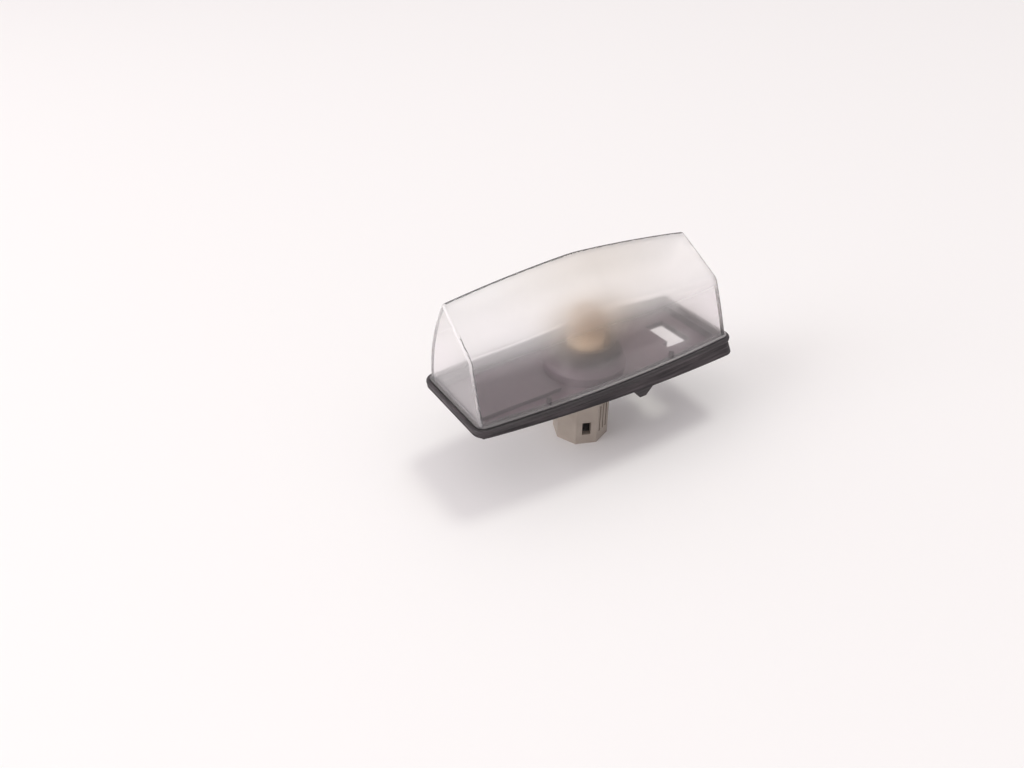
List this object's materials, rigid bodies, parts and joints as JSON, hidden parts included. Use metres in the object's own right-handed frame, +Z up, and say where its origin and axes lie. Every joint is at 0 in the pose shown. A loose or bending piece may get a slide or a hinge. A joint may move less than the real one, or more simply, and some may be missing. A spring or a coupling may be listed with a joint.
{
  "type": "number plate lamp",
  "caption": "Small car lamp with a hazy ridged lens on a black base, a wedge-shaped panel gasket, snap hooks and a turn-out octagonal bulb holder.",
  "frame": {"origin": "middle of the bulb holder's open end, on the holder's axis, where the lamp stands", "axes": "+X along the lens towards its deep-gasket end, +Y from the sloping front to the back wall, +Z up along the holder's axis to the lens"},
  "size_m": [0.0843, 0.0342, 0.0527],
  "materials": {
    "lens": "clear moulded plastic with a fine diffusing haze",
    "black_plastic": "black moulded plastic with a fine grain",
    "black_rubber": "matt black rubber",
    "grey_plastic": "light warm grey moulded plastic",
    "contact_metal": "stamped brass strip",
    "bulb_glass": "clear glass with a tan cast from use",
    "lead_wire": "drawn metal wire"
  },
  "bodies": {
    "lamp_body": {"lens": "lens", "base_housing": "black_plastic", "panel_gasket": "black_rubber"},
    "bulb_holder": {"bulb_socket": "grey_plastic", "socket_seal": "black_rubber", "contact_left": "contact_metal", "contact_right": "contact_metal", "bulb_glass": "bulb_glass", "bulb_lead_left": "lead_wire", "bulb_lead_right": "lead_wire", "bulb_filament": "lead_wire"}
  },
  "joints": [
    {"name": "holder_twist", "type": "hinge", "parent": "lamp_body", "child": "bulb_holder", "pos_m": [0, 0, 0.0188], "axis": [0, 0, -1], "range_deg": [0, 45]}
  ]
}
